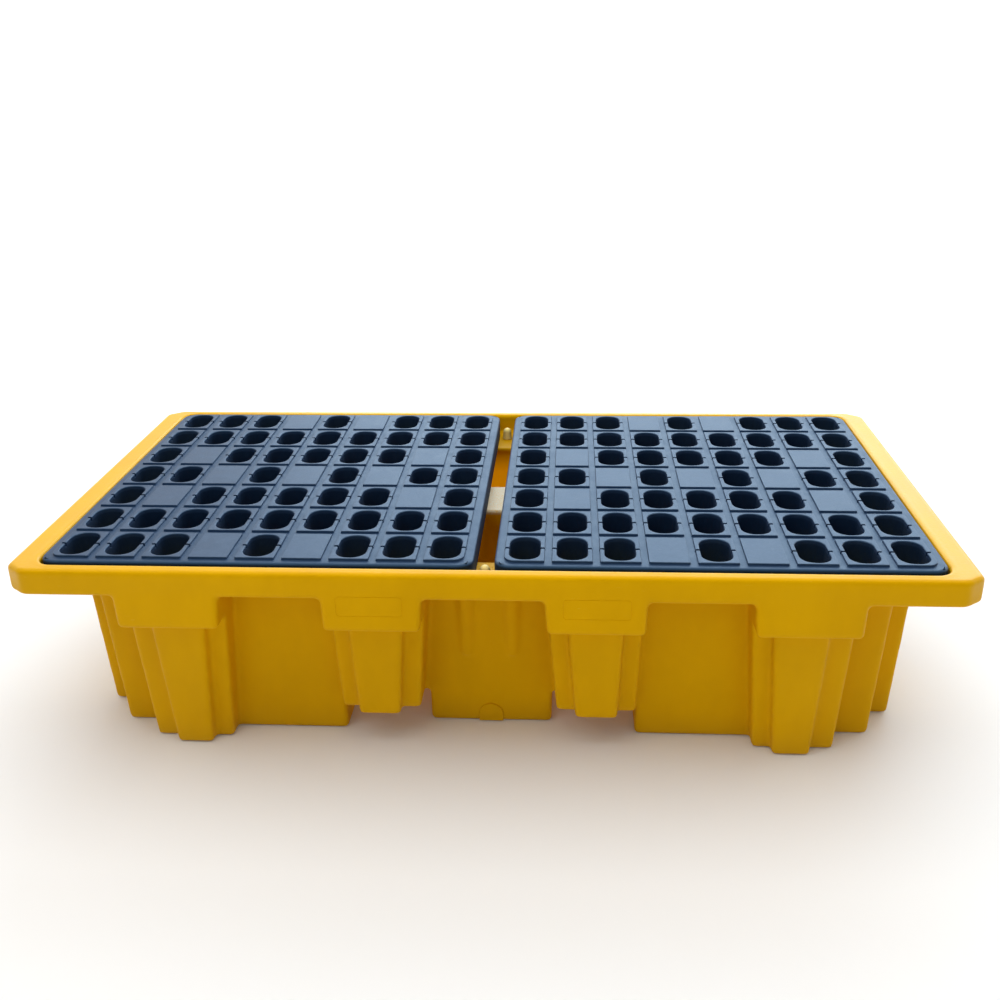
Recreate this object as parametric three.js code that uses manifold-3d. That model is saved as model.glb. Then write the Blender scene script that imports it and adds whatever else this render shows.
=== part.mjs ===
// Spill containment pallet for two drums: a moulded yellow sump with a stepped rim, two lift-out
// grates that stand on its ledge, the pegs that keep the grates apart and the columns under them.
// Millimetres, +X along the length, +Y to the back, +Z up, origin under the middle on the floor.
import * as THREE from 'three';
import { mergeVertices } from 'three/addons/utils/BufferGeometryUtils.js';
import Module from 'manifold-3d';

const wasm = await Module();
wasm.setup();

// ---- driving dimensions ----
const length = 1300;
const width = 680;
const height = 300;
const wall = 6; // moulded wall of the sump
const seatGap = 0.3; // air between two pieces that touch

// rim
const rimHeight = 38;
const rimChamfer = { alongLength: 24, alongWidth: 18 };
const rimBandSide = 20; // flat top band along the long sides
const rimBandEnd = 37; // flat top band along the ends
const ledgeDepth = 33; // from the rim's top down to the ledge
const ledgeOpeningSide = 109; // from the outer edge to the ledge's inner edge, long sides
const ledgeOpeningEnd = 100; // the same at the ends
const recessCorner = 25;
const openingCorner = 30;

// sump walls: insets of the faces from the outer edge, at the floor
const middlePanelInset = 110;
const sidePanelInset = 83;
const endPanelInset = 96;
const panelLean = 0.045; // outward run for each unit of height
const postFaceLean = 0.085;
const postInnerLean = 0.08; // the side of a post that looks to the middle of the pallet
const postOuterLean = 0.035;
const endFaceLean = 0.045;
const innerReach = 80; // how far a post's block reaches back into the body

// fork channels, front to back under the sump
const forkCentre = 151.5;
const forkWidth = 122;
const forkHeight = 54;

// Posts, at the floor: a face between two flanks that stand further back. The middle posts hang
// over the fork channels; the others are placed from the corner of the rim.
const middlePostCentre = 155; // from the middle of the length
const middlePost = { faceWidth: 60, inset: 40, innerFlank: 27, outerFlank: 27, flankInset: 59 };
const cornerPost = { faceWidth: 53, inset: 39, innerFlank: 26, outerFlank: 36, flankInset: 56 };
const endPost = { faceWidth: 53, inset: 44, innerFlank: 26, outerFlank: 42, flankInset: 55 };
const postFromCorner = 192; // from the corner of the rim to the near edge of a post's face
const cornerStep = { endInset: 98, sideInset: 95 };

// brackets that tie the posts to the rim, as wide as the posts' flanks and flush with the rim
const bracketDrop = 50; // below the rim's underside

// small features of the long sides
const gussetOffset = 33.5;
const gussetLength = 141;
const gussetTopRadius = 15.5;
const gussetFootRadius = 8;
const gussetSink = 4; // from the panel's face back to a rib's axis
const drainBossWidth = 36;
const drainBossHeight = 32;
const drainBossProud = 2;

// grates
const grateThickness = 38;
const grateGap = 28; // between the two grates
const grateClearanceEnd = 3; // grate to rim, at the ends
const grateClearanceSide = 5; // grate to rim, along the long sides
const grateCorner = 22;
const padRise = 2.5;
const padBorderX = 13; // from the grate's edge to the outermost pads
const padBorderY = 11.75;
const padSpacingX = 10.5;
const padSpacingY = 9.5;
const padCorner = 15; // on the four outermost pads
const wellMarginX = 6; // from a pad's edge to its well
const wellMarginY = 4.25;
const wellCorner = 19;
// rows from the front to the back: O is an open well, b is a blank pad
const wellPattern = [
  'OOObObOOO',
  'OOOOOOOOO',
  'ObOOOOObO',
  'OObObObOO',
  'ObOOOOObO',
  'OOOOOOOOO',
  'OOObObOOO',
];

// locating pegs
const pegRadius = 8.5;
const pegHeight = 21;
const pegInset = 57; // from the outer edge of the long side
const pegShankRadius = 5;
const pegShankLength = 12;
const pegFit = 0.3; // radial clearance of the shank in the ledge

// support columns
const columnTopX = 110;
const columnTopY = 102;
const columnLean = 0.027;
const columnWall = 5;
const columnBossHeight = 12;
const columnBossFit = 2; // from the boss to the column's inner wall

// ---- sizes that follow ----
const halfLength = length / 2;
const halfWidth = width / 2;
const rimBottom = height - rimHeight;
const ledgeTop = height - ledgeDepth;
const ledgeBottom = ledgeTop - wall;
const recessX = halfLength - rimBandEnd;
const recessY = halfWidth - rimBandSide;
const grateSizeX = recessX - grateClearanceEnd - grateGap / 2;
const grateSizeY = 2 * (recessY - grateClearanceSide);
const grateCentreX = grateGap / 2 + grateSizeX / 2;
const grateBottom = ledgeTop + seatGap;
const columnHeight = ledgeTop - wall - seatGap;

const padColumns = wellPattern[0].length;
const padRows = wellPattern.length;
const padsX = grateSizeX - 2 * padBorderX;
const padsY = grateSizeY - 2 * padBorderY;
const pitchX = (padsX + padSpacingX) / padColumns;
const pitchY = (padsY + padSpacingY) / padRows;
const wellWidth = pitchX - padSpacingX - 2 * wellMarginX;
const wellLength = pitchY - padSpacingY - 2 * wellMarginY;

const yellow = { color: 0xe0a400, roughness: 0.45, metalness: 0 };
const navy = { color: 0x33415f, roughness: 0.55, metalness: 0 };

// ---- solids ----
function solidOf(geometry) {
  const bare = geometry.index ? geometry.toNonIndexed() : geometry.clone();
  bare.deleteAttribute('normal');
  bare.deleteAttribute('uv');
  const merged = mergeVertices(bare, 1e-4);
  return new wasm.Manifold(new wasm.Mesh({
    numProp: 3,
    vertProperties: new Float32Array(merged.attributes.position.array),
    triVerts: new Uint32Array(merged.index.array),
  }));
}

function meshOf(name, solid, look) {
  const { numProp, vertProperties, triVerts } = solid.getMesh();
  const geometry = new THREE.BufferGeometry();
  const positions = new Float32Array((vertProperties.length / numProp) * 3);
  for (let i = 0; i < positions.length / 3; i += 1) {
    positions.set(vertProperties.subarray(i * numProp, i * numProp + 3), i * 3);
  }
  geometry.setAttribute('position', new THREE.BufferAttribute(positions, 3));
  geometry.setIndex(new THREE.BufferAttribute(new Uint32Array(triVerts), 1));
  geometry.computeVertexNormals();
  const mesh = new THREE.Mesh(geometry, new THREE.MeshStandardMaterial(look));
  mesh.name = name;
  return mesh;
}

const union = (solids) => solids.reduce((whole, solid) => whole.add(solid));

// A box whose sides lean outward, given at its foot. Each lean is a pair, for the low and the
// high side of its axis.
function leaningBlock({ x, y, z, lean }) {
  const geometry = new THREE.BoxGeometry(x[1] - x[0], y[1] - y[0], z[1] - z[0]);
  geometry.translate((x[0] + x[1]) / 2, (y[0] + y[1]) / 2, (z[0] + z[1]) / 2);
  const rise = z[1] - z[0];
  const position = geometry.attributes.position;
  for (let i = 0; i < position.count; i += 1) {
    if (position.getZ(i) < (z[0] + z[1]) / 2) continue;
    const right = position.getX(i) > (x[0] + x[1]) / 2;
    const back = position.getY(i) > (y[0] + y[1]) / 2;
    position.setX(i, position.getX(i) + (right ? lean.x[1] : -lean.x[0]) * rise);
    position.setY(i, position.getY(i) + (back ? lean.y[1] : -lean.y[0]) * rise);
  }
  return solidOf(geometry);
}

const box = (x, y, z) => leaningBlock({ x, y, z, lean: { x: [0, 0], y: [0, 0] } });

// The same block with every side moved in by the wall: the hollow behind the moulded wall.
function hollowOf({ x, y, z, lean }) {
  return leaningBlock({
    x: [x[0] + wall, x[1] - wall],
    y: [y[0] + wall, y[1] - wall],
    z: [z[0] + wall, z[1]],
    lean,
  });
}

function roundedRectangle(halfX, halfY, radius) {
  const outline = new THREE.Shape();
  outline.absarc(halfX - radius, halfY - radius, radius, 0, Math.PI / 2);
  outline.absarc(radius - halfX, halfY - radius, radius, Math.PI / 2, Math.PI);
  outline.absarc(radius - halfX, radius - halfY, radius, Math.PI, 1.5 * Math.PI);
  outline.absarc(halfX - radius, radius - halfY, radius, 1.5 * Math.PI, 2 * Math.PI);
  return outline;
}

// The rim from above: a rectangle with its corners cut off, moved in by an inset.
function rimShape(inset) {
  const [halfX, halfY] = [halfLength - inset, halfWidth - inset];
  const cutX = rimChamfer.alongLength - inset / 2;
  const cutY = rimChamfer.alongWidth - inset / 2;
  const outline = new THREE.Shape();
  outline.moveTo(halfX, halfY - cutY);
  outline.lineTo(halfX - cutX, halfY);
  outline.lineTo(cutX - halfX, halfY);
  outline.lineTo(-halfX, halfY - cutY);
  outline.lineTo(-halfX, cutY - halfY);
  outline.lineTo(cutX - halfX, -halfY);
  outline.lineTo(halfX - cutX, -halfY);
  outline.lineTo(halfX, cutY - halfY);
  return outline;
}

function slab(outline, bottom, top, curveSegments = 2) {
  const geometry = new THREE.ExtrudeGeometry(outline, {
    depth: top - bottom,
    bevelEnabled: false,
    curveSegments,
  });
  geometry.translate(0, 0, bottom);
  return solidOf(geometry);
}

// A block given for the back right quarter, repeated in all four quarters.
function inFourQuarters({ x, y, z, lean }) {
  const flip = (range) => [-range[1], -range[0]];
  const swap = (pair) => [pair[1], pair[0]];
  const mirrored = { x: flip(x), y, z, lean: { x: swap(lean.x), y: lean.y } };
  return [{ x, y, z, lean }, mirrored].flatMap((block) => [
    block,
    { ...block, y: flip(y), lean: { x: block.lean.x, y: swap(lean.y) } },
  ]);
}

// ---- sump ----
const postLean = { x: [postInnerLean, postOuterLean], y: [0, postFaceLean] };
const endPostLean = { x: [0, endFaceLean], y: [postInnerLean, postOuterLean] };
const panelsLean = { x: [panelLean, panelLean], y: [panelLean, panelLean] };

// The face and the flanks of a post. It stands out along one axis, away from the middle, and its
// face starts at a place along the other.
function postBlocks(post, { out, reach, start, foot, lean }) {
  const along = out === 'x' ? 'y' : 'x';
  const z = [foot, ledgeBottom];
  const end = start + post.faceWidth;
  const face = reach - post.inset;
  const flank = reach - post.flankInset;
  return [
    { [along]: [start, end], [out]: [face - innerReach, face], z, lean },
    {
      [along]: [start - post.innerFlank, end + post.outerFlank],
      [out]: [flank - innerReach, flank],
      z,
      lean,
    },
  ];
}

// The bracket over a post: the upper end of the block of its flanks, brought out to the rim's face.
function bracketBlock(flanks, axis, reach) {
  const foot = rimBottom - bracketDrop;
  const rise = foot - flanks.z[0];
  const across = axis === 'x' ? 'y' : 'x';
  const run = flanks.lean[across];
  return {
    [across]: [flanks[across][0] - run[0] * rise, flanks[across][1] + run[1] * rise],
    [axis]: [flanks[axis][0], reach],
    z: [foot, ledgeBottom],
    lean: { [across]: run, [axis]: [0, 0] },
  };
}

function bodyBlocks() {
  const z = [0, ledgeBottom];
  const middleY = halfWidth - middlePanelInset;
  const sideY = halfWidth - sidePanelInset;
  const endX = halfLength - endPanelInset;
  const cornerX = halfLength - cornerStep.endInset;
  const cornerY = halfWidth - cornerStep.sideInset;
  const core = { x: [-endX, endX], y: [-middleY, middleY], z, lean: panelsLean };
  const middlePosts = postBlocks(middlePost, {
    out: 'y',
    reach: halfWidth,
    start: middlePostCentre - middlePost.faceWidth / 2,
    foot: forkHeight,
    lean: postLean,
  });
  const cornerPosts = postBlocks(cornerPost, {
    out: 'y',
    reach: halfWidth,
    start: halfLength - postFromCorner - cornerPost.faceWidth,
    foot: 0,
    lean: postLean,
  });
  const endPosts = postBlocks(endPost, {
    out: 'x',
    reach: halfLength,
    start: halfWidth - postFromCorner - endPost.faceWidth,
    foot: 0,
    lean: endPostLean,
  });
  const sidePanel = {
    x: [forkCentre, cornerX - innerReach],
    y: [sideY - innerReach, sideY],
    z,
    lean: { x: [0, 0], y: [0, panelLean] },
  };
  const cornerBlock = {
    x: [cornerX - 2 * innerReach, cornerX],
    y: [cornerY - innerReach, cornerY],
    z,
    lean: { x: [0, panelLean], y: [0, panelLean] },
  };
  const quarterBlocks = [
    sidePanel,
    cornerBlock,
    ...middlePosts,
    ...cornerPosts,
    ...endPosts,
    bracketBlock(middlePosts[1], 'y', halfWidth),
    bracketBlock(cornerPosts[1], 'y', halfWidth),
    bracketBlock(endPosts[1], 'x', halfLength),
  ];
  return [core, ...quarterBlocks.flatMap(inFourQuarters)];
}

function forkChannels(spread) {
  const halfFork = forkWidth / 2 + spread;
  return union([-1, 1].map((side) => box(
    [side * forkCentre - halfFork, side * forkCentre + halfFork],
    [-width, width],
    [-height, forkHeight + spread],
  )));
}

// Two tapered half-round ribs under the rim and an arched blind boss, on each long side.
function smallSideFeatures() {
  const features = [];
  for (const side of [-1, 1]) {
    const face = (z) => side * (halfWidth - middlePanelInset + panelLean * z);
    for (const x of [-gussetOffset, gussetOffset]) {
      const rib = new THREE.CylinderGeometry(gussetTopRadius, gussetFootRadius, gussetLength, 12);
      rib.rotateX(Math.PI / 2 - side * Math.atan(panelLean));
      const middle = ledgeBottom + wall / 2 - gussetLength / 2;
      rib.translate(x, face(middle) - side * gussetSink, middle);
      features.push(solidOf(rib).subtract(sumpHollow));
    }
    const arch = new THREE.Shape();
    arch.moveTo(-drainBossWidth / 2, 0);
    arch.lineTo(drainBossWidth / 2, 0);
    arch.lineTo(drainBossWidth / 2, drainBossHeight - drainBossWidth / 2);
    arch.absarc(0, drainBossHeight - drainBossWidth / 2, drainBossWidth / 2, 0, Math.PI);
    const boss = new THREE.ExtrudeGeometry(arch, {
      depth: drainBossProud + wall / 2,
      bevelEnabled: false,
      curveSegments: 8,
    });
    boss.rotateX(Math.PI / 2);
    boss.translate(0, (drainBossProud + wall / 2) / 2, 0);
    boss.translate(0, face(0) + side * (drainBossProud - wall / 2) / 2, 0);
    features.push(solidOf(boss));
  }
  return union(features);
}

const blocks = bodyBlocks();
const sumpHollow = union(blocks.map(hollowOf)).subtract(forkChannels(wall));

// Columns stand on the floor over low bosses, under the gap and under the middle of each grate.
const columnPlaces = { centre: 0, left: -grateCentreX, right: grateCentreX };

function columnOuter(x) {
  const halfX = columnTopX / 2 + columnLean * columnHeight;
  const halfY = columnTopY / 2 + columnLean * columnHeight;
  return {
    x: [x - halfX, x + halfX],
    y: [-halfY, halfY],
    z: [wall + seatGap, ledgeTop],
    lean: { x: [-columnLean, -columnLean], y: [-columnLean, -columnLean] },
  };
}

function shrunk({ x, y, z, lean }, side, top) {
  return {
    x: [x[0] + side, x[1] - side],
    y: [y[0] + side, y[1] - side],
    z: [z[0], z[1] - top],
    lean,
  };
}

function columnBosses() {
  return union(Object.values(columnPlaces).map((x) => {
    const inside = shrunk(columnOuter(x), columnWall + columnBossFit, 0);
    return leaningBlock({ ...inside, z: [wall / 2, wall + columnBossHeight] });
  }));
}

function supportColumn(name, x) {
  const outer = columnOuter(x);
  const inner = shrunk(outer, columnWall, columnWall);
  const hollow = { ...inner, z: [inner.z[0] - 1, inner.z[1]] };
  return meshOf(name, leaningBlock(outer).subtract(leaningBlock(hollow)), yellow);
}

function sump() {
  const innerRim = roundedRectangle(recessX + wall, recessY + wall, recessCorner + wall);
  const rim = slab(rimShape(0), ledgeBottom, height);
  const underRim = slab(rimShape(wall), ledgeBottom, height - wall)
    .subtract(slab(innerRim, 0, height + 1));
  const recess = slab(roundedRectangle(recessX, recessY, recessCorner), ledgeTop, height + 1, 4);
  const openingX = halfLength - ledgeOpeningEnd;
  const openingY = halfWidth - ledgeOpeningSide;
  const opening = slab(
    roundedRectangle(openingX, openingY, openingCorner),
    ledgeBottom - 1,
    ledgeTop + 1,
    4,
  );
  const body = union(blocks.map(leaningBlock)).subtract(forkChannels(0));
  const pegHoles = union([-1, 1].map((side) => {
    const hole = new THREE.CylinderGeometry(
      pegShankRadius + pegFit,
      pegShankRadius + pegFit,
      4 * wall,
      16,
    );
    hole.rotateX(Math.PI / 2);
    hole.translate(0, side * (halfWidth - pegInset), ledgeTop);
    return solidOf(hole);
  }));
  return body
    .subtract(sumpHollow)
    .add(rim)
    .add(smallSideFeatures())
    .add(columnBosses())
    .subtract(recess)
    .subtract(opening)
    .subtract(underRim)
    .subtract(pegHoles);
}

// ---- grates ----
function grate() {
  const top = grateBottom + grateThickness;
  const plateTop = top - padRise;
  const base = slab(
    roundedRectangle(grateSizeX / 2, grateSizeY / 2, grateCorner),
    grateBottom,
    plateTop,
  );
  const cuts = [];
  for (let column = 1; column < padColumns; column += 1) {
    const x = (column - padColumns / 2) * pitchX;
    cuts.push(box([x - padSpacingX / 2, x + padSpacingX / 2], [-width, width], [plateTop, top + 1]));
  }
  for (let row = 1; row < padRows; row += 1) {
    const y = (row - padRows / 2) * pitchY;
    cuts.push(box([-length, length], [y - padSpacingY / 2, y + padSpacingY / 2], [plateTop, top + 1]));
  }
  const pads = slab(roundedRectangle(padsX / 2, padsY / 2, padCorner), plateTop - 1, top)
    .subtract(union(cuts));
  const roundest = Math.min(wellCorner, wellWidth / 2, wellLength / 2);
  const wells = [];
  wellPattern.forEach((line, row) => {
    [...line].forEach((mark, column) => {
      if (mark !== 'O') return;
      const well = slab(
        roundedRectangle(wellWidth / 2, wellLength / 2, roundest),
        grateBottom - 1,
        top + 1,
        1,
      );
      const x = (column - (padColumns - 1) / 2) * pitchX;
      const y = (row - (padRows - 1) / 2) * pitchY;
      wells.push(well.translate([x, y, 0]));
    });
  });
  return base.add(pads).subtract(union(wells));
}

// ---- pegs ----
function locatingPeg(name, side) {
  const foot = ledgeTop + seatGap;
  const straight = pegHeight - pegRadius - seatGap;
  const dome = [];
  const domeSteps = 4;
  for (let i = 1; i < domeSteps; i += 1) {
    const angle = (i / domeSteps) * (Math.PI / 2);
    dome.push(new THREE.Vector2(
      pegRadius * Math.cos(angle),
      straight + pegRadius * Math.sin(angle),
    ));
  }
  const profile = [
    new THREE.Vector2(0, -pegShankLength),
    new THREE.Vector2(pegShankRadius, -pegShankLength),
    new THREE.Vector2(pegShankRadius, 0),
    new THREE.Vector2(pegRadius, 0),
    new THREE.Vector2(pegRadius, straight),
    ...dome,
    new THREE.Vector2(0, straight + pegRadius),
  ];
  const geometry = new THREE.LatheGeometry(profile, 16);
  geometry.rotateX(Math.PI / 2);
  geometry.translate(0, side * (halfWidth - pegInset), foot);
  return meshOf(name, solidOf(geometry), yellow);
}

// ---- assembly ----
const group = new THREE.Group();
group.add(meshOf('sump_tray', sump(), yellow));

const grateSolid = grate();
for (const [name, side] of [['left_grate', -1], ['right_grate', 1]]) {
  const mesh = meshOf(name, grateSolid, navy);
  mesh.position.x = side * grateCentreX;
  group.add(mesh);
}

group.add(locatingPeg('front_locating_peg', -1));
group.add(locatingPeg('rear_locating_peg', 1));

for (const [place, x] of Object.entries(columnPlaces)) {
  group.add(supportColumn(`${place}_support_column`, x));
}

export default group;
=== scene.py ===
"""Spill containment pallet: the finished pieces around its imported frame. Metres, +Z up."""

import math

import bmesh
import bpy
from mathutils import Matrix, Vector


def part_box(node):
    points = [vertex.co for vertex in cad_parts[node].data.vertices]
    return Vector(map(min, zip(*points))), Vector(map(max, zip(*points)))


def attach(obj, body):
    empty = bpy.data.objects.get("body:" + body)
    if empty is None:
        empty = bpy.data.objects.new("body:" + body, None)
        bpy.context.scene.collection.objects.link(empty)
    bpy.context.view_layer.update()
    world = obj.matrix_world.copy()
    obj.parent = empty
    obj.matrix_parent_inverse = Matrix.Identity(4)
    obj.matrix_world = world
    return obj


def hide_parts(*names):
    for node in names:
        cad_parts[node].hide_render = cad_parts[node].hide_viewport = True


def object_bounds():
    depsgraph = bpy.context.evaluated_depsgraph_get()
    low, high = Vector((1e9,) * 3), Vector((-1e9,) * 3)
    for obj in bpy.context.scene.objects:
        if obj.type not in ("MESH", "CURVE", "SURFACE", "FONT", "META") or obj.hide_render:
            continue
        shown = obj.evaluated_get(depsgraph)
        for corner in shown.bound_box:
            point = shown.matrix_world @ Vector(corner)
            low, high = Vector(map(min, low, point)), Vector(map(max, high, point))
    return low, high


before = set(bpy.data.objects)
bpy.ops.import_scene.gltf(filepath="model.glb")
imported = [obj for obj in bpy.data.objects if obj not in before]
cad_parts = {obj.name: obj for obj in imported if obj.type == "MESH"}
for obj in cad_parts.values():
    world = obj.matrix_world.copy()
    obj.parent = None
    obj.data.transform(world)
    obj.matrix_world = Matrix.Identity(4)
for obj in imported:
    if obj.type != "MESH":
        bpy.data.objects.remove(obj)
cad_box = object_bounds()

MM = 0.001

# ---- sump ----
WALL = 6 * MM
RIM_HEIGHT = 38 * MM
RIM_CHAMFER = (24 * MM, 18 * MM)  # along the length, along the width
RIM_BAND_SIDE = 20 * MM
RIM_BAND_END = 37 * MM
LEDGE_DEPTH = 33 * MM
SEAT_GAP = 0.3 * MM  # under pieces that stand on another
OPENING_SIDE = 109 * MM
OPENING_END = 100 * MM
RECESS_CORNER = 25 * MM
OPENING_CORNER = 30 * MM
EDGE = 5 * MM  # rounding of the rim's edges
INNER_EDGE = 3 * MM
SKIN_CELL = 3 * MM
SKIN_PASSES = 6
SKIN_KEPT = 0.18

MIDDLE_PANEL_INSET = 110 * MM
SIDE_PANEL_INSET = 83 * MM
END_PANEL_INSET = 96 * MM
PANEL_LEAN = 0.045
POST_FACE_LEAN = 0.085
POST_INNER_LEAN = 0.08
POST_OUTER_LEAN = 0.035
END_FACE_LEAN = 0.045
INNER_REACH = 80 * MM
FORK_CENTRE = 151.5 * MM
FORK_WIDTH = 122 * MM
FORK_HEIGHT = 54 * MM
# a post: face width, face inset, inner flank, outer flank, flank inset
MIDDLE_POST_CENTRE = 155 * MM
# Posts: face width, inset, inner flank, outer flank, flank inset.
MIDDLE_POST = [size * MM for size in (60, 40, 27, 27, 59)]
CORNER_POST = [size * MM for size in (53, 39, 26, 36, 56)]
END_POST = [size * MM for size in (53, 44, 26, 42, 55)]
POST_FROM_CORNER = 192 * MM
CORNER_STEP_END = 98 * MM
CORNER_STEP_SIDE = 95 * MM
BRACKET_DROP = 50 * MM
GUSSET_OFFSET = 33.5 * MM
GUSSET_LENGTH = 141 * MM
GUSSET_TOP_RADIUS = 15.5 * MM
GUSSET_FOOT_RADIUS = 8 * MM
GUSSET_SINK = 4 * MM
DRAIN_BOSS_WIDTH = 36 * MM
DRAIN_BOSS_HEIGHT = 32 * MM
DRAIN_BOSS_PROUD = 2 * MM
LABEL_SIZE = (89 * MM, 29 * MM)
LABEL_CENTRE = (152 * MM, 252 * MM)
LABEL_LINE = 1.3 * MM
LABEL_DEPTH = 0.35 * MM

# ---- grates ----
GRATE_CORNER = 22 * MM
GRATE_EDGE = 4 * MM
PAD_RISE = 3.2 * MM
PAD_BORDER = (13 * MM, 11.75 * MM)
PAD_SPACING = (10.5 * MM, 9.5 * MM)
PAD_CORNER = 1.5 * MM
OUTER_PAD_CORNER = 15 * MM
WELL_MARGIN = (6 * MM, 4.25 * MM)
WELL_CORNER = 19 * MM
NOTCH_WIDTH = 4.6 * MM
NOTCH_DEPTH = 3 * MM  # below the plate
WELLS = (
    "OOObObOOO",
    "OOOOOOOOO",
    "ObOOOOObO",
    "OObObObOO",
    "ObOOOOObO",
    "OOOOOOOOO",
    "OOObObOOO",
)

sump_low, sump_high = (Vector(corner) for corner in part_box("sump_tray"))
HALF_LENGTH = sump_high.x
HALF_WIDTH = sump_high.y
HEIGHT = sump_high.z
RIM_BOTTOM = HEIGHT - RIM_HEIGHT
LEDGE_TOP = HEIGHT - LEDGE_DEPTH
LEDGE_BOTTOM = LEDGE_TOP - WALL


# ---- mesh tools ----
def new_piece(name, mesh_maker):
    """An object whose mesh the given function fills in."""
    mesh = bpy.data.meshes.new(name)
    built = bmesh.new()
    mesh_maker(built)
    built.to_mesh(mesh)
    built.free()
    piece = bpy.data.objects.new(name, mesh)
    bpy.context.scene.collection.objects.link(piece)
    return piece


def apply_modifier(piece, kind, **settings):
    modifier = piece.modifiers.new(kind.lower(), kind)
    for key, value in settings.items():
        setattr(modifier, key, value)
    with bpy.context.temp_override(object=piece, active_object=piece):
        bpy.ops.object.modifier_apply(modifier=modifier.name)


def combine(piece, tool, operation):
    """Joins a tool to a piece, or cuts it away, and throws the tool away."""
    apply_modifier(piece, "BOOLEAN", object=tool, operation=operation, solver="MANIFOLD")
    mesh = tool.data
    bpy.data.objects.remove(tool)
    bpy.data.meshes.remove(mesh)


def coat(piece, material):
    """Gives the whole piece one material."""
    piece.data.materials.clear()
    piece.data.materials.append(material)
    piece.data.polygons.foreach_set("material_index", [0] * len(piece.data.polygons))


def finish_shading(piece, sharp=40):
    mesh = piece.data
    mesh.shade_smooth()
    mesh.set_sharp_from_angle(angle=math.radians(sharp))
    apply_modifier(piece, "WEIGHTED_NORMAL", keep_sharp=True, weight=80)


def loft(built, rings, closed_ends=True):
    """Skins a list of rings with the same number of points."""
    loops = [[built.verts.new(point) for point in ring] for ring in rings]
    count = len(loops[0])
    for low, high in zip(loops, loops[1:]):
        for i in range(count):
            j = (i + 1) % count
            built.faces.new((low[i], low[j], high[j], high[i]))
    if closed_ends:
        built.faces.new(reversed(loops[0]))
        built.faces.new(loops[-1])
    return loops


def rounded_outline(half_x, half_y, radius, steps=8):
    """Points round a rectangle with round corners, anticlockwise from above."""
    points = []
    for corner, (side_x, side_y) in enumerate(((1, 1), (-1, 1), (-1, -1), (1, -1))):
        centre = Vector((side_x * (half_x - radius), side_y * (half_y - radius)))
        for step in range(steps + 1):
            angle = math.pi / 2 * (corner + step / steps)
            points.append(centre + radius * Vector((math.cos(angle), math.sin(angle))))
    return points


def at_height(outline, z, centre=(0, 0)):
    return [Vector((point.x + centre[0], point.y + centre[1], z)) for point in outline]


def quarter_round(radius, steps=3):
    """Offsets along and up a rounded edge: (0, 0) on the side, (radius, radius) on the top."""
    angles = [math.pi / 2 * step / steps for step in range(steps + 1)]
    return [(radius * (1 - math.cos(a)), radius * math.sin(a)) for a in angles]


# ---- sump ----
def leaning_block(built, x, y, z, lean_x=(0, 0), lean_y=(0, 0)):
    """A box given at its foot, whose sides lean outward by each unit of height."""
    rise = z[1] - z[0]
    rings = []
    for height, run in ((z[0], 0), (z[1], rise)):
        low_x, high_x = x[0] - lean_x[0] * run, x[1] + lean_x[1] * run
        low_y, high_y = y[0] - lean_y[0] * run, y[1] + lean_y[1] * run
        corners = ((low_x, low_y), (high_x, low_y), (high_x, high_y), (low_x, high_y))
        rings.append([Vector((*corner, height)) for corner in corners])
    loft(built, rings)


def four_quarters(block):
    """The block of the back right quarter and its three mirror images."""
    x, y, z, lean_x, lean_y = block

    def flip(pair):
        return (-pair[1], -pair[0])

    def swap(pair):
        return (pair[1], pair[0])

    half = [(x, y, z, lean_x, lean_y), (flip(x), y, z, swap(lean_x), lean_y)]
    return half + [(a, flip(b), z, c, swap(d)) for a, b, z, c, d in half]


def post_blocks(post, out_is_x, start, foot):
    """A post's face and its two flanks, then the bracket that ties them to the rim."""
    face_width, inset, inner_flank, outer_flank, flank_inset = post
    reach = HALF_LENGTH if out_is_x else HALF_WIDTH
    top = (foot, LEDGE_BOTTOM)
    along_lean = (POST_INNER_LEAN, POST_OUTER_LEAN)
    out_lean = (0, END_FACE_LEAN if out_is_x else POST_FACE_LEAN)
    face = (reach - inset - INNER_REACH, reach - inset)
    flank = (reach - flank_inset - INNER_REACH, reach - flank_inset)
    ends = (start, start + face_width)
    flank_ends = (start - inner_flank, start + face_width + outer_flank)
    bracket_foot = RIM_BOTTOM - BRACKET_DROP
    rise = bracket_foot - foot
    bracket_ends = (
        flank_ends[0] - along_lean[0] * rise,
        flank_ends[1] + along_lean[1] * rise,
    )
    parts = [
        (ends, face, top, along_lean, out_lean),
        (flank_ends, flank, top, along_lean, out_lean),
        (bracket_ends, (flank[0], reach), (bracket_foot, LEDGE_BOTTOM), along_lean, (0, 0)),
    ]
    if out_is_x:
        return [(out, along, z, lean_o, lean_a) for along, out, z, lean_a, lean_o in parts]
    return parts


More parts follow.
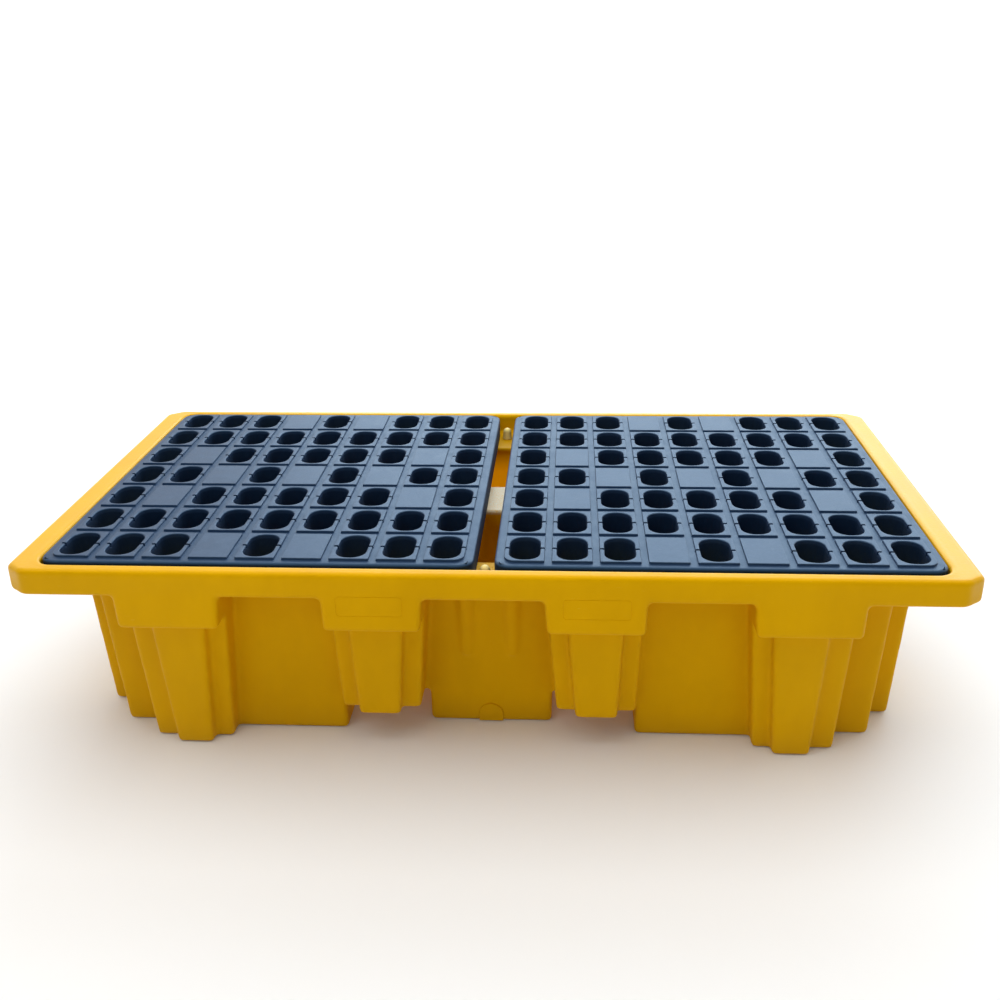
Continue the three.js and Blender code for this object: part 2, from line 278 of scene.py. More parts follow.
def sump_blocks():
    full = (0, LEDGE_BOTTOM)
    panel = (PANEL_LEAN, PANEL_LEAN)
    middle_y = HALF_WIDTH - MIDDLE_PANEL_INSET
    side_y = HALF_WIDTH - SIDE_PANEL_INSET
    end_x = HALF_LENGTH - END_PANEL_INSET
    step_x = HALF_LENGTH - CORNER_STEP_END
    step_y = HALF_WIDTH - CORNER_STEP_SIDE
    quarter = [
        (
            (FORK_CENTRE, step_x - INNER_REACH),
            (side_y - INNER_REACH, side_y),
            full,
            (0, 0),
            (0, PANEL_LEAN),
        ),
        (
            (step_x - 2 * INNER_REACH, step_x),
            (step_y - INNER_REACH, step_y),
            full,
            (0, PANEL_LEAN),
            (0, PANEL_LEAN),
        ),
    ]
    quarter += post_blocks(MIDDLE_POST, False, MIDDLE_POST_CENTRE - MIDDLE_POST[0] / 2, FORK_HEIGHT)
    quarter += post_blocks(CORNER_POST, False, HALF_LENGTH - POST_FROM_CORNER - CORNER_POST[0], 0)
    quarter += post_blocks(END_POST, True, HALF_WIDTH - POST_FROM_CORNER - END_POST[0], 0)
    blocks = [((-end_x, end_x), (-middle_y, middle_y), full, panel, panel)]
    for block in quarter:
        blocks += four_quarters(block)
    return blocks


def shrunk(block, side):
    """The same block with every side and the foot moved in."""
    x, y, z, lean_x, lean_y = block
    return ((x[0] + side, x[1] - side), (y[0] + side, y[1] - side), (z[0] + side, z[1]), lean_x, lean_y)


def joined(name, blocks):
    first, *others = blocks
    whole = new_piece(name, lambda built: leaning_block(built, *first))
    for block in others:
        tool = new_piece("tool", lambda built: leaning_block(built, *block))
        combine(whole, tool, "UNION")
    return whole


def cut_fork_channels(piece, spread):
    half = FORK_WIDTH / 2 + spread
    for side in (-1, 1):
        centre = side * FORK_CENTRE
        block = ((centre - half, centre + half), (-1, 1), (-1, FORK_HEIGHT + spread))
        combine(piece, new_piece("tool", lambda built: leaning_block(built, *block)), "DIFFERENCE")


def rim_outline(inset=0):
    """The rim from above: a rectangle with its corners cut off."""
    half_x, half_y = HALF_LENGTH - inset, HALF_WIDTH - inset
    cut_x, cut_y = (cut - inset / 2 for cut in RIM_CHAMFER)
    quarter = [(half_x, half_y - cut_y), (half_x - cut_x, half_y)]
    back = quarter + [(-x, y) for x, y in reversed(quarter)]
    return [Vector(point) for point in back + [(-x, -y) for x, y in back]]


def merge_flats(piece):
    """Takes out the seams inside flat faces."""
    built = bmesh.new()
    built.from_mesh(piece.data)
    bmesh.ops.remove_doubles(built, verts=built.verts, dist=0.02 * MM)
    bmesh.ops.dissolve_limit(
        built,
        angle_limit=math.radians(0.6),
        verts=built.verts,
        edges=built.edges,
    )
    built.to_mesh(piece.data)
    built.free()


def soften(piece):
    """Rounds every edge and fillet, makes one even skin of the moulding and thins it out."""
    merge_flats(piece)
    apply_modifier(
        piece,
        "BEVEL",
        width=EDGE,
        segments=3,
        limit_method="ANGLE",
        angle_limit=math.radians(25),
        use_clamp_overlap=False,
    )
    apply_modifier(piece, "REMESH", mode="VOXEL", voxel_size=SKIN_CELL)
    apply_modifier(piece, "SMOOTH", factor=0.5, iterations=SKIN_PASSES)
    apply_modifier(piece, "DECIMATE", ratio=SKIN_KEPT)


def sump_body(blocks):
    body = joined("sump", blocks)
    rim = rim_outline()
    rings = [at_height(rim, z) for z in (LEDGE_BOTTOM, HEIGHT)]
    combine(body, new_piece("tool", lambda built: loft(built, rings)), "UNION")
    cut_fork_channels(body, 0)
    return body


def sump_hollow(blocks):
    hollow = joined("hollow", [shrunk(block, WALL) for block in blocks])
    cut_fork_channels(hollow, WALL)
    return hollow


def recess_tool():
    """The room for the grates: a round foot, and a mouth that flares with the rim's round edge."""
    half_x, half_y = HALF_LENGTH - RIM_BAND_END, HALF_WIDTH - RIM_BAND_SIDE
    edge = EDGE * 0.7
    rings = []
    for inset, rise in reversed(quarter_round(INNER_EDGE)):
        rings.append((-inset, LEDGE_TOP + INNER_EDGE - rise))
    for inset, rise in quarter_round(edge):
        rings.append((inset, HEIGHT - edge + rise))
    rings.append((edge, HEIGHT + WALL))
    return [
        at_height(rounded_outline(half_x + out, half_y + out, RECESS_CORNER + out), z)
        for out, z in rings
    ]


def opening_tool():
    half_x, half_y = HALF_LENGTH - OPENING_END, HALF_WIDTH - OPENING_SIDE
    edge = INNER_EDGE
    rings = [(0, LEDGE_BOTTOM - WALL / 2)]
    rings += [(inset, LEDGE_TOP - edge + rise) for inset, rise in quarter_round(edge)]
    rings.append((edge, LEDGE_TOP + WALL))
    return [
        at_height(rounded_outline(half_x + out, half_y + out, OPENING_CORNER + out), z)
        for out, z in rings
    ]


def cut_under_rim(body):
    """The groove that leaves the rim one wall thick, seen from below."""
    outer = rim_outline(WALL)
    inner_x, inner_y = HALF_LENGTH - RIM_BAND_END + WALL, HALF_WIDTH - RIM_BAND_SIDE + WALL
    inner = rounded_outline(inner_x, inner_y, RECESS_CORNER + WALL, steps=4)
    depths = (LEDGE_BOTTOM - WALL / 2, HEIGHT - WALL)
    groove = new_piece("groove", lambda built: loft(built, [at_height(outer, z) for z in depths]))
    island = new_piece("island", lambda built: loft(built, [at_height(inner, z) for z in (0, 1)]))
    combine(groove, island, "DIFFERENCE")
    combine(body, groove, "DIFFERENCE")


def panel_face(side, z):
    """How far out the middle panel's face is at a height."""
    return side * (HALF_WIDTH - MIDDLE_PANEL_INSET + PANEL_LEAN * z)


def add_gussets(body):
    """The tapering half-round ribs that hang from the rim on the middle panels."""
    steps = 20
    for side in (-1, 1):
        for x in (-GUSSET_OFFSET, GUSSET_OFFSET):
            rings = []
            for share in [step / 6 for step in range(7)]:
                z = LEDGE_BOTTOM - GUSSET_LENGTH * (1 - share)
                radius = GUSSET_FOOT_RADIUS + (GUSSET_TOP_RADIUS - GUSSET_FOOT_RADIUS) * share
                turns = [2 * math.pi * i / steps for i in range(steps)]
                axis_y = panel_face(side, z) - side * GUSSET_SINK
                rings.append([
                    Vector((x + radius * math.cos(turn), axis_y + radius * math.sin(turn), z))
                    for turn in turns
                ])
            combine(body, new_piece("tool", lambda built: loft(built, rings)), "UNION")


def add_drain_bosses(body):
    """The low arched bosses at the foot of the middle panels."""
    arch_steps = 16
    half, foot = DRAIN_BOSS_WIDTH / 2, EDGE * 0.4
    top = DRAIN_BOSS_HEIGHT - half
    for side in (-1, 1):
        rings = []
        for inset, proud in ((0, -1), (0, 0.5), (0.3, 0.85), (0.9, 1)):
            out = half - inset * MM
            outline = [(out, foot)]
            for i in range(arch_steps + 1):
                angle = math.pi * i / arch_steps
                outline.append((out * math.cos(angle), top + out * math.sin(angle)))
            outline.append((-out, foot))
            lift = DRAIN_BOSS_PROUD * proud
            rings.append([Vector((x, panel_face(side, z) + side * lift, z)) for x, z in outline])
        if side > 0:
            rings = [list(reversed(ring)) for ring in rings]
        combine(body, new_piece("tool", lambda built: loft(built, rings)), "UNION")


def cut_label_frames(body):
    """The empty frames pressed into the brackets of the middle posts."""
    for side in (-1, 1):
        for x in (-LABEL_CENTRE[0], LABEL_CENTRE[0]):
            def ring_tool(built):
                rings = []
                half_x, half_z = LABEL_SIZE[0] / 2, LABEL_SIZE[1] / 2
                deep = HALF_WIDTH - LABEL_DEPTH
                for out, y in (
                    (LABEL_LINE / 2, HALF_WIDTH + MM),
                    (LABEL_LINE / 4, deep),
                    (-LABEL_LINE / 4, deep),
                    (-LABEL_LINE / 2, HALF_WIDTH + MM),
                ):
                    outline = rounded_outline(half_x + out, half_z + out, 4 * MM + out, steps=3)
                    rings.append([Vector((x + p.x, side * y, LABEL_CENTRE[1] + p.y)) for p in outline])
                rings.append(rings[0])
                loft(built, rings, closed_ends=False)
                bmesh.ops.remove_doubles(built, verts=built.verts, dist=1e-6)
                bmesh.ops.recalc_face_normals(built, faces=built.faces)

            combine(body, new_piece("tool", ring_tool), "DIFFERENCE")


def sump():
    blocks = sump_blocks()
    body = sump_body(blocks)
    add_gussets(body)
    combine(body, new_piece("recess", lambda built: loft(built, recess_tool())), "DIFFERENCE")
    soften(body)
    combine(body, sump_hollow(blocks), "DIFFERENCE")
    combine(body, new_piece("opening", lambda built: loft(built, opening_tool())), "DIFFERENCE")
    cut_under_rim(body)
    add_drain_bosses(body)
    cut_label_frames(body)
    finish_shading(body, sharp=60)
    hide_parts("sump_tray")
    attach(body, "sump")
    return body


# ---- grates ----
CORNER_STEPS = 6


def cell_outline(half_x, half_y, radii, notch):
    """Points round a pad or a well, with two pairs on the long sides where the notches are.
    A radius of None spreads the corner's points along the sides, as on a cell's own edge."""
    near, far = notch / 2 - 0.25 * MM, notch / 2
    signs = ((1, 1), (-1, 1), (-1, -1), (1, -1))
    points = [Vector((half_x, y)) for y in (-far, -near, near, far)]
    for corner, ((side_x, side_y), radius) in enumerate(zip(signs, radii)):
        if corner == 2:
            points += [Vector((-half_x, y)) for y in (far, near, -near, -far)]
        for step in range(CORNER_STEPS + 1):
            if radius is None:
                along = GRATE_CORNER * (1 - step / (CORNER_STEPS / 2))
                first, second = max(along, 0), max(-along, 0)
                if corner % 2:
                    first, second = second, first
                points.append(Vector((side_x * (half_x - second), side_y * (half_y - first))))
            else:
                centre = Vector((side_x * (half_x - radius), side_y * (half_y - radius)))
                angle = math.pi / 2 * (corner + step / CORNER_STEPS)
                points.append(centre + radius * Vector((math.cos(angle), math.sin(angle))))
    return points


def is_notch(index):
    return index in (1, 2) or index in tuple(4 + 2 * (CORNER_STEPS + 1) + i for i in (1, 2))


class GrateLayout:
    """The grid of a grate's cells, worked out from its frame node."""

    def __init__(self, node):
        low, high = (Vector(corner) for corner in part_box(node))
        self.centre = (low + high) / 2
        self.half = (high - low) / 2
        self.bottom, self.top = low.z, high.z
        self.plate = high.z - PAD_RISE
        self.counts = (len(WELLS[0]), len(WELLS))
        self.pitch = [
            (2 * self.half[i] - 2 * PAD_BORDER[i] + PAD_SPACING[i]) / self.counts[i] for i in (0, 1)
        ]
        self.pad = [(self.pitch[i] - PAD_SPACING[i]) / 2 for i in (0, 1)]
        self.well = [self.pad[i] - WELL_MARGIN[i] for i in (0, 1)]

    def cell_centre(self, column, row):
        return (
            self.centre.x + (column - (self.counts[0] - 1) / 2) * self.pitch[0],
            self.centre.y + (row - (self.counts[1] - 1) / 2) * self.pitch[1],
        )


def add_cell(built, layout, column, row):
    last_column, last_row = layout.counts[0] - 1, layout.counts[1] - 1
    radii = [PAD_CORNER] * 4
    corners = {(last_column, last_row): 0, (0, last_row): 1, (0, 0): 2, (last_column, 0): 3}
    if (column, row) in corners:
        radii[corners[(column, row)]] = OUTER_PAD_CORNER
    centre = layout.cell_centre(column, row)
    plate, top, bottom = layout.plate, layout.top, layout.bottom
    holed = WELLS[row][column] == "O"

    def ring(half, out, radii, z, notch_z=None):
        grown = [None if r is None else max(r + out, 0.3 * MM) for r in radii]
        points = at_height(cell_outline(half[0] + out, half[1] + out, grown, NOTCH_WIDTH), z, centre)
        if notch_z is not None:
            for index, point in enumerate(points):
                if is_notch(index):
                    point.z = min(point.z, notch_z)
        return points

    edge = [size / 2 for size in layout.pitch]
    cell_edge = [None] * 4
    notch = plate - NOTCH_DEPTH if holed else None
    rings = [
        ring(edge, 0, cell_edge, plate),
        ring(layout.pad, 0.9 * MM, radii, plate),
        ring(layout.pad, 0.45 * MM, radii, plate + 0.25 * MM, notch),
        ring(layout.pad, 0, radii, top - 0.8 * MM, notch),
        ring(layout.pad, -0.25 * MM, radii, top - 0.22 * MM, notch),
        ring(layout.pad, -0.8 * MM, radii, top, notch),
    ]
    if holed:
        round_well = [WELL_CORNER] * 4
        rings += [
            ring(layout.well, 1.6 * MM, round_well, top, notch),
            ring(layout.well, 0.7 * MM, round_well, top - 0.25 * MM, notch),
            ring(layout.well, 0.15 * MM, round_well, top - 0.9 * MM, notch - 0.5 * MM),
            ring(layout.well, 0, round_well, top - 2 * MM, notch - 1.2 * MM),
            ring(layout.well, -0.5 * MM, round_well, (top + bottom) / 2),
            ring(layout.well, -0.9 * MM, round_well, bottom + 1.5 * MM),
            ring(layout.well, 0.4 * MM, round_well, bottom),
        ]
        rings.append(ring(edge, 0, cell_edge, bottom))
        loft(built, rings, closed_ends=False)
    else:
        loops = loft(built, rings, closed_ends=False)
        built.faces.new(loops[-1])
        built.faces.new(reversed([built.verts.new(p) for p in ring(edge, 0, cell_edge, bottom)]))


def add_border(built, layout):
    """The plain edge round the cells, from the top of the plate round to its underside."""
    half_grid = [layout.pitch[i] * layout.counts[i] / 2 for i in (0, 1)]
    brink = set()
    for edge in built.edges:
        if len(edge.link_faces) == 1 and min(vert.co.z for vert in edge.verts) > layout.plate - MM:
            brink.update(edge.verts)
    locals_ = [(vert.co - layout.centre).to_2d() for vert in brink]
    locals_.sort(key=lambda point: math.atan2(point.y, point.x))

    def placed(point, inset, z):
        half = Vector((layout.half.x - inset, layout.half.y - inset))
        spread = Vector((point.x * half.x / half_grid[0], point.y * half.y / half_grid[1]))
        radius = GRATE_CORNER - inset
        core = Vector((
            max(radius - half.x, min(half.x - radius, spread.x)),
            max(radius - half.y, min(half.y - radius, spread.y)),
        ))
        if (spread - core).length > 1e-9:
            spread = core + (spread - core).normalized() * radius
        return Vector((layout.centre.x + spread.x, layout.centre.y + spread.y, z))

    foot_edge = 2 * MM
    top_round = quarter_round(GRATE_EDGE, 4)
    profile = [(inset, layout.plate - GRATE_EDGE + rise) for inset, rise in reversed(top_round)]
    profile += [(inset, layout.bottom + foot_edge - rise) for inset, rise in quarter_round(foot_edge)]
    rings = [[placed(point, inset, z) for point in locals_] for inset, z in profile]
    inner = at_height(locals_, layout.plate, layout.centre)
    under = at_height(locals_, layout.bottom, layout.centre)
    loft(built, [inner, *rings, under], closed_ends=False)


def grate(name, node):
    layout = GrateLayout(node)

    def make(built):
        for row in range(layout.counts[1]):
            for column in range(layout.counts[0]):
                add_cell(built, layout, column, row)
        bmesh.ops.remove_doubles(built, verts=built.verts, dist=0.02 * MM)
        add_border(built, layout)
        bmesh.ops.remove_doubles(built, verts=built.verts, dist=0.02 * MM)
        bmesh.ops.recalc_face_normals(built, faces=built.faces)

    piece = new_piece(name, make)
    finish_shading(piece)
    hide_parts(node)
    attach(piece, node)
    return piece


# ---- pegs and columns ----
def locating_peg(name, node):
    """A domed peg on a round foot, standing on the ledge."""
    low, high = (Vector(corner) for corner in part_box(node))
    centre = (low + high) / 2
    radius = (high.x - low.x) / 2
    shank = radius * 0.58
    foot = LEDGE_TOP + SEAT_GAP
    dome = radius * 0.84
    profile = [(shank * 0.9, low.z), (shank, low.z + MM), (shank, foot), (radius * 0.94, foot)]
    profile += [(radius, foot + 0.7 * MM), (radius, foot + 2.4 * MM), (radius * 0.93, foot + 3.2 * MM)]
    profile += [(radius * 0.9, foot + 5 * MM)]
    for step in range(10):
        angle = math.pi / 2 * step / 10
        profile.append((dome * math.cos(angle), high.z - dome * (1 - math.sin(angle))))
    turns = 32

    def make(built):
        rings = [
            [
                Vector((
                    centre.x + r * math.cos(2 * math.pi * i / turns),
                    centre.y + r * math.sin(2 * math.pi * i / turns),
                    z,
                ))
                for i in range(turns)
            ]
            for r, z in profile
        ]
        loops = loft(built, rings, closed_ends=False)
        built.faces.new(reversed(loops[0]))
        tip = built.verts.new((centre.x, centre.y, high.z))
        for i in range(turns):
            built.faces.new((loops[-1][i], loops[-1][(i + 1) % turns], tip))

    piece = new_piece(name, make)
    finish_shading(piece)
    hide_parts(node)
    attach(piece, "sump")
    return piece


def support_column(name, node):
    """A hollow column, open at the foot, with round edges and a fluted middle on each side."""
    low, high = (Vector(corner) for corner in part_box(node))
    centre = (low + high) / 2
    foot = ((high.x - low.x) / 2, (high.y - low.y) / 2)
    lean, wall = 0.027, 5 * MM
    rise = high.z - low.z

    def outline(half_x, half_y, flute):
        """Round corners and a shallow flute down the middle of every side."""
        points = []
        for corner, (side_x, side_y) in enumerate(((1, 1), (-1, 1), (-1, -1), (1, -1))):
            radius = 10 * MM
            middle = Vector((side_x * (half_x - radius), side_y * (half_y - radius)))
            for step in range(6):
                angle = math.pi / 2 * (corner + step / 5)
                points.append(middle + radius * Vector((math.cos(angle), math.sin(angle))))
            out = Vector((math.cos(math.pi / 2 * (corner + 1)), math.sin(math.pi / 2 * (corner + 1))))
            across = Vector((-out.y, out.x))
            reach = half_y if corner % 2 == 0 else half_x
            for share in (-1, -0.8, 0.8, 1):
                depth = flute if abs(share) < 1 else 0
                points.append(out * (reach - depth) + across * 22 * MM * share)
        return points

    def ring(z, inset, flute):
        shrink = lean * (z - low.z) + inset
        points = outline(foot[0] - shrink, foot[1] - shrink, flute)
        return [Vector((centre.x + p.x, centre.y + p.y, z)) for p in points]

    def make(built):
        edge = 5 * MM
        rings = [ring(low.z, 0.6 * MM, 0), ring(low.z + MM, 0, 0), ring(low.z + 25 * MM, 0, 0)]
        rings += [ring(low.z + 35 * MM, 0, 4 * MM), ring(high.z - 40 * MM, 0, 4 * MM)]
        rings.append(ring(high.z - 30 * MM, 0, 0))
        rings += [ring(high.z - edge + up, inset, 0) for inset, up in quarter_round(edge, 4)]
        outside = loft(built, rings, closed_ends=False)
        built.faces.new(outside[-1])
        inner = [ring(low.z, wall, 0), ring(high.z - wall - MM, wall, 0)]
        inside = loft(built, [list(reversed(points)) for points in inner], closed_ends=False)
        built.faces.new(inside[-1])
        count = len(inside[0])
        for i in range(count):
            j = (i + 1) % count
            built.faces.new((outside[0][i], outside[0][j], inside[0][-1 - j], inside[0][-1 - i]))
        bmesh.ops.recalc_face_normals(built, faces=built.faces)

    piece = new_piece(name, make)
    finish_shading(piece)
    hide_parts(node)
    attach(piece, "sump")
    return piece


# ---- materials ----
class Wire:
    """A socket that can be used in sums: each sum adds a Math node."""

    def __init__(self, finish, socket):
        self.finish = finish
        self.socket = socket

    def _sum(self, operation, first, second):
        return self.finish.node("ShaderNodeMath", {"operation": operation}, {0: first, 1: second})

    def __add__(self, other):
        return self._sum("ADD", self, other)

    __radd__ = __add__

    def __mul__(self, other):
        return self._sum("MULTIPLY", self, other)

    __rmul__ = __mul__

    def __sub__(self, other):
        return self._sum("SUBTRACT", self, other)

    def __rsub__(self, other):
        return self._sum("SUBTRACT", other, self)

    def absolute(self):
        return self._sum("ABSOLUTE", self, 0)


ALONG, ACROSS, UP = 0, 1, 2  # the axes, as Separate XYZ gives them


class Finish:
    """A material and the nodes that feed its shader."""

    def __init__(self, name, **constants):
        self.material = bpy.data.materials.new(name)
        self.material.use_nodes = True
        self.tree = self.material.node_tree
        self.shader = self.tree.nodes["Principled BSDF"]
        for key, value in constants.items():
            self.shader.inputs[key.replace("_", " ")].default_value = value
        place = self.tree.nodes.new("ShaderNodeTexCoord")
        self.place = Wire(self, place.outputs["Object"])

    def node(self, kind, settings=None, inputs=None, output=0):
        """Adds a node: its settings first, then the values or links of its sockets."""
        made = self.tree.nodes.new(kind)
        for key, value in (settings or {}).items():
            if key == "stops":
                ramp = made.color_ramp
                while len(ramp.elements) < len(value):
                    ramp.elements.new(0.5)
                for element, (position, shade) in zip(ramp.elements, value):
                    element.position = position
                    element.color = (shade, shade, shade, 1)
            else:
                setattr(made, key, value)
        for key, value in (inputs or {}).items():
            if isinstance(value, Wire):
                self.tree.links.new(value.socket, made.inputs[key])
            else:
                made.inputs[key].default_value = value
        return Wire(self, made.outputs[output])

    def feed(self, **inputs):
        for key, wire in inputs.items():
            self.tree.links.new(wire.socket, self.shader.inputs[key.replace("_", " ")])

    def stretched(self, scale):
        return self.node("ShaderNodeMapping", {}, {"Vector": self.place, "Scale": scale})

    def noise(self, scale, detail=3, roughness=0.55, vector=None, distortion=0):
        inputs = {
            "Vector": vector or self.place,
            "Scale": scale,
            "Detail": detail,
            "Roughness": roughness,
            "Distortion": distortion,
        }
        return self.node("ShaderNodeTexNoise", {}, inputs)

    def ramp(self, factor, stops):
        return self.node("ShaderNodeValToRGB", {"stops": stops}, {"Fac": factor})

    def mix(self, factor, first, second):
        inputs = {"Factor": factor, "A": first, "B": second}
        made = self.tree.nodes.new("ShaderNodeMix")
        made.data_type = "RGBA"
        sockets = {"Factor": made.inputs[0], "A": made.inputs[6], "B": made.inputs[7]}
        for key, value in inputs.items():
            if isinstance(value, Wire):
                self.tree.links.new(value.socket, sockets[key])
            else:
                sockets[key].default_value = (*value, 1) if isinstance(value, tuple) else value
        return Wire(self, made.outputs[2])

    def offset(self, axis):
        """How far along an axis a point of the surface lies."""
        return self.node("ShaderNodeSeparateXYZ", {}, {0: self.place}, output=axis)

    def bump(self, height, strength, distance, under=None):
        inputs = {"Height": height, "Strength": strength, "Distance": distance}
        if under is not None:
            inputs["Normal"] = under
        return self.node("ShaderNodeBump", {}, inputs)


def scratches(finish, scale, direction):
    """Thin stray lines along one direction: 1 on a scratch."""
    lines = finish.noise(scale, detail=2, vector=finish.stretched(direction), distortion=0.4)
    places = finish.noise(7, detail=2)
    thin = finish.ramp(lines, ((0.7, 0.0), (0.76, 1.0)))
    return thin * finish.ramp(places, ((0.48, 0.0), (0.62, 1.0)))


def moulded_yellow(name, deep, bright, grain=1.0, roughness=0.35, painted_sheen_from=None, inside=False):
    """Moulded yellow plastic. Above the height given for the sheen, the top is painted pale and
    speckled, a painted sheen, and inside says that the piece is the hollow sump, which also gets a
    painted glow inside."""
    finish = Finish(name, Specular_IOR_Level=0.35, IOR=1.5, Specular_Tint=(1, 0.7, 0.02, 1))
    # the hollow sump gets a painted glow through its emission
    finish.shader.inputs["Emission Strength"].default_value = 1 if inside else 0
    cloud = finish.noise(4, detail=4)
    flow = finish.noise(22, detail=3, vector=finish.stretched((1, 1, 0.25)))
    tone = finish.mix(finish.ramp(cloud * 0.7 + flow * 0.3, ((0.38, 0.0), (0.62, 1.0))), deep, bright)
    # darker and browner in patches over the lowest 45 mm
    darker_low_down = finish.ramp(finish.offset(UP), ((0.0, 0.22), (0.045, 0.0)))
    tone = finish.mix(darker_low_down * flow, tone, (0.33, 0.2, 0.03))
    marks = scratches(finish, 60, (1, 1, 12)) * 0.25
    tone = finish.mix(marks, tone, (0.85, 0.6, 0.12))
    fine = finish.noise(950, detail=2)
    soft = finish.noise(210, detail=2)
    if painted_sheen_from is not None:
        speckle = finish.ramp(finish.noise(420, detail=4, roughness=0.7), ((0.36, 0.35), (0.6, 1.0)))
        # painted sheen: above the given height the top is painted pale and speckled, standing in for
        # the sky's reflection
        painted_top_sheen = finish.ramp((finish.offset(UP) - painted_sheen_from) * 100, ((0.0, 0.0), (0.6, 1.0)))
        tone = finish.mix(speckle * painted_top_sheen, tone, (0.58, 0.55, 0.45))
    rough = finish.ramp(cloud * 0.5 + soft * 0.5, ((0.3, roughness - 0.05), (0.7, roughness + 0.09)))
    relief = finish.bump(fine, 0.22 * grain, 0.0004)
    relief = finish.bump(soft, 0.16 * grain, 0.0012, under=relief)
    if inside:
        matt_below_rim = ((RIM_BOTTOM, 0.25), (HEIGHT - 10 * MM, 0.0))
        rough = rough + finish.ramp(finish.offset(UP), matt_below_rim)
        finish.feed(Emission_Color=painted_glow_through_wall(finish))
    finish.feed(Base_Color=tone, Roughness=rough + marks * 0.3, Normal=relief)
    return finish.material


def painted_glow_through_wall(finish):
    """A painted warm glow on the inside of the hollow, standing in for daylight coming through the
    plastic.
    """
    along, across, up = finish.offset(ALONG), finish.offset(ACROSS), finish.offset(UP)
    wall_inside = HALF_WIDTH - MIDDLE_PANEL_INSET - WALL / 2
    end_inside = HALF_LENGTH - END_PANEL_INSET - WALL / 2
    depth = wall_inside + up * PANEL_LEAN - across.absolute()
    hollow = finish.ramp(depth * 100, ((0.0, 0.0), (0.2, 1.0)))
    off_ends = finish.ramp((end_inside - along.absolute()) * 2, ((0.0, 0.0), (0.8, 1.0)))
    above_floor = finish.ramp(up * 100, ((0.3, 0.0), (0.5, 1.0)))
    below_ledge = finish.ramp((LEDGE_BOTTOM - up) * 20, ((0.0, 0.0), (0.8, 1.0)))
    from_back = finish.ramp(across * 2 + 0.5, ((0.1, 0.15), (0.9, 1.0)))
    share = hollow * off_ends * above_floor * below_ledge * from_back
    return finish.mix(share, (0.0, 0.0, 0.0), (0.3, 0.11, 0.0))


def grate_navy(name, plate):
    finish = Finish(name, Specular_IOR_Level=0.5, IOR=1.5, Specular_Tint=(0.35, 0.7, 1, 1))
    cloud = finish.noise(6, detail=4)
    grain = finish.noise(650, detail=3)
    wear = finish.noise(48, detail=5, roughness=0.7)
    tone = finish.mix(cloud, (0.009, 0.023, 0.062), (0.015, 0.034, 0.084))
    above = (finish.offset(UP) - plate) * 100
    on_pad = finish.ramp(above, ((0.1, 0.0), (0.25, 1.0)))
    # painted shade: the well walls below the plate are painted darker, as shade in the recess
    painted_well_shade = finish.ramp(above + 1, ((0.62, 1.0), (0.9, 0.0)))
    tone = finish.mix(painted_well_shade, tone, (0.002, 0.009, 0.034))
    # pad tops painted lighter in patches: partly real wear, partly painted sheen of the sky on the tops
    wear_and_sheen = on_pad * finish.ramp(wear, ((0.42, 0.1), (0.66, 0.6)))
    tone = finish.mix(wear_and_sheen, tone, (0.055, 0.082, 0.14))
    marks = scratches(finish, 45, (1, 9, 1)) * on_pad * 0.4
    tone = finish.mix(marks, tone, (0.16, 0.19, 0.24))
    rough = finish.ramp(wear * 0.6 + grain * 0.4, ((0.35, 0.4), (0.65, 0.54)))
    relief = finish.bump(grain, 0.3, 0.0005)
    relief = finish.bump(wear, 0.08, 0.001, under=relief)
    finish.feed(Base_Color=tone, Roughness=rough + painted_well_shade * 0.2 - marks * 0.1, Normal=relief)
    return finish.material


def floor_pale():
    """Pale floor that glows more and more away from the middle, most of all at the back."""
    finish = Finish("floor_pale", Emission_Strength=1)
    cloud = finish.noise(2, detail=2)
    tone = finish.mix(cloud, (0.78, 0.78, 0.78), (0.8, 0.8, 0.8))
    length = {"operation": "LENGTH"}
    away = finish.node("ShaderNodeVectorMath", length, {0: finish.place}, output="Value")
    far = finish.ramp(away * 0.1, ((0.25, 0.0), (0.5, 1.0)))
    tone = finish.mix(far, tone, (0.45, 0.45, 0.45))
    near_glow = finish.ramp(away * 0.1, ((0.05, 0.03), (0.13, 0.14), (0.3, 0.45)))
    far_glow = finish.ramp(finish.offset(ACROSS) * 0.1 + 0.5, ((0.1, 0.06), (0.5, 0.14), (0.78, 0.95)))
    glow = finish.mix(far, near_glow, far_glow)
    finish.feed(Base_Color=tone, Roughness=cloud * 0.05 + 0.75, Emission_Color=glow)
    return finish.material


# ---- stage ----
def stage():
    """A wide round floor that sweeps up to a wall on all sides."""
    reach, bend, high, turns = 9, 3, 10, 64

    def make(built):
        profile = [(reach - bend, 0.0)]
        for step in range(1, 13):
            angle = math.pi / 2 * step / 12
            profile.append((reach - bend + bend * math.sin(angle), bend - bend * math.cos(angle)))
        profile.append((reach, high))
        rings = [
            [
                Vector((
                    radius * math.cos(2 * math.pi * i / turns),
                    radius * math.sin(2 * math.pi * i / turns),
                    cad_box[0].z - SEAT_GAP + z,
                ))
                for i in range(turns)
            ]
            for radius, z in profile
        ]
        loops = loft(built, rings, closed_ends=False)
        built.faces.new(loops[0])
        bmesh.ops.reverse_faces(built, faces=[face for face in built.faces if len(face.verts) == 4])

    floor = new_piece("floor", make)
    coat(floor, floor_pale())
    floor.data.shade_smooth()
    scene = bpy.context.scene
    world = bpy.data.worlds.new("studio")
    world.use_nodes = True
    world.node_tree.nodes["Background"].inputs["Color"].default_value = (1, 1, 1, 1)
    world.node_tree.nodes["Background"].inputs["Strength"].default_value = 0.2
    scene.world = world
    scene.view_settings.view_transform = "Standard"


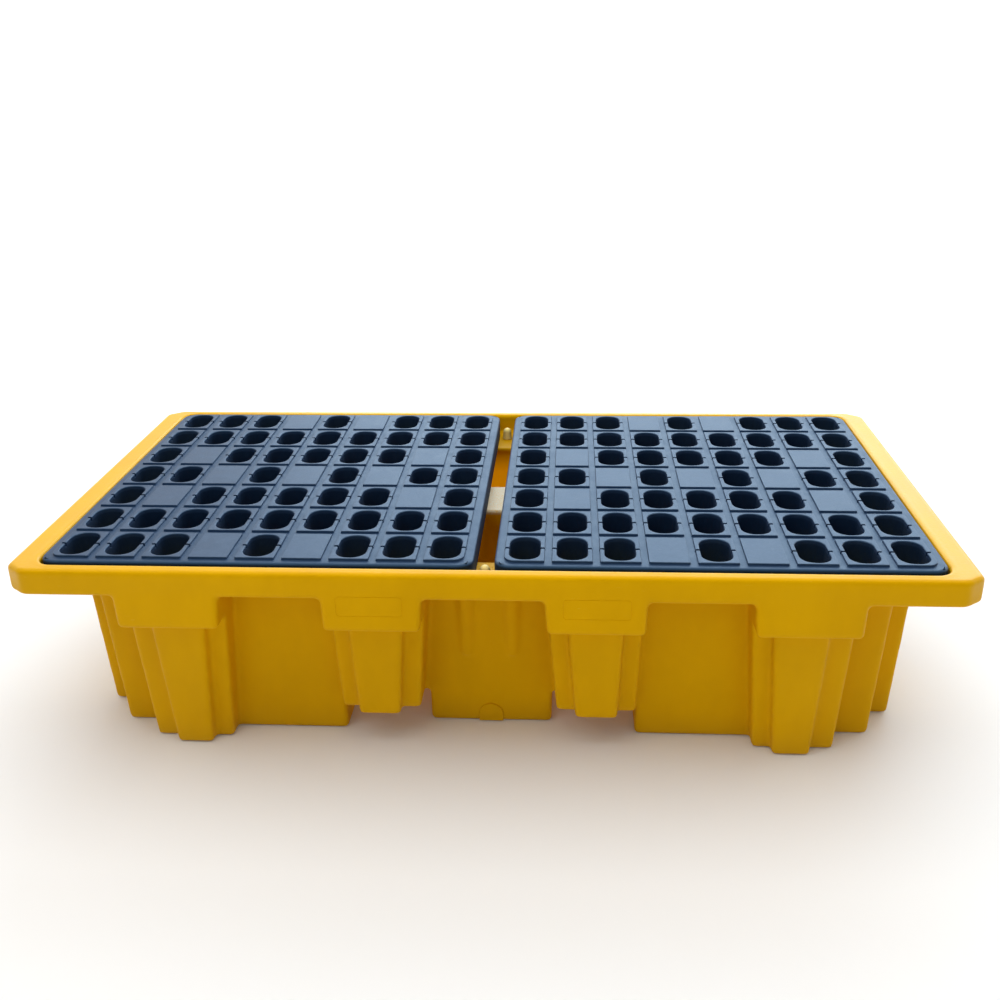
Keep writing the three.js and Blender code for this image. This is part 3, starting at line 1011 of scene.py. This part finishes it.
def soft_light(name, place, aim, size, power, tint):
    data = bpy.data.lights.new(name, "AREA")
    data.shape = "RECTANGLE"
    data.size, data.size_y = size
    data.energy = power
    data.color = tint
    lamp = bpy.data.objects.new(name, data)
    lamp.location = place
    lamp.rotation_euler = (Vector(aim) - Vector(place)).to_track_quat("-Z", "Y").to_euler()
    bpy.context.scene.collection.objects.link(lamp)


def camera():
    """Stands in front, a little right of the middle, and looks down on the deck."""
    place = Vector((0.1108, -1.5966, 0.9425))
    turn, tilt, roll = math.radians(3.855), math.radians(22.98), math.radians(1.03)
    data = bpy.data.cameras.new("camera")
    data.lens = 38.9
    data.sensor_width = 36
    view = bpy.data.objects.new("camera", data)
    look = (
        Matrix.Rotation(turn, 4, "Z")
        @ Matrix.Rotation(math.pi / 2 - tilt, 4, "X")
        @ Matrix.Rotation(-roll, 4, "Z")
    )
    view.matrix_world = Matrix.Translation(place) @ look
    bpy.context.scene.collection.objects.link(view)
    bpy.context.scene.camera = view


def build():
    camera()
    stage()
    soft_light("back_sky", (0.75, 3.4, 2.0), (0, 0, 0.25), (4.6, 2.6), 112, (0.62, 0.83, 1.0))
    soft_light("overhead", (0, 0.2, 3.6), (0, 0.2, 0), (5, 4), 122, (1.0, 0.98, 0.94))
    soft_light("right_window", (3.4, 1.4, 1.4), (0, 0, 0.25), (3, 2), 9, (1.0, 0.98, 0.95))
    soft_light("front_key", (-1.3, -1.9, 3.1), (0, 0, 0.15), (2.5, 2), 20, (1.0, 0.97, 0.9))
    yellow = moulded_yellow("sump_yellow", (0.67, 0.345, 0.0), (0.74, 0.39, 0.0), inside=True)
    peg_finish = moulded_yellow("peg_yellow", (0.84, 0.66, 0.22), (0.88, 0.74, 0.32), 0.4, 0.2)
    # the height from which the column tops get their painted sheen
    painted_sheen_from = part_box("centre_support_column")[1][2] - 8 * MM
    column_finish = moulded_yellow(
        "column_yellow", (0.7, 0.33, 0.0), (0.75, 0.37, 0.0), 2.2, 0.34, painted_sheen_from=painted_sheen_from
    )
    coat(sump(), yellow)
    for side in ("left", "right"):
        node = f"{side}_grate"
        coat(grate(f"{side}_deck", node), grate_navy(f"navy_{side}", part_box(node)[1][2] - PAD_RISE))
    for end in ("front", "rear"):
        coat(locating_peg(f"{end}_peg", f"{end}_locating_peg"), peg_finish)
    for place in ("left", "centre", "right"):
        coat(support_column(f"{place}_column", f"{place}_support_column"), column_finish)


build()
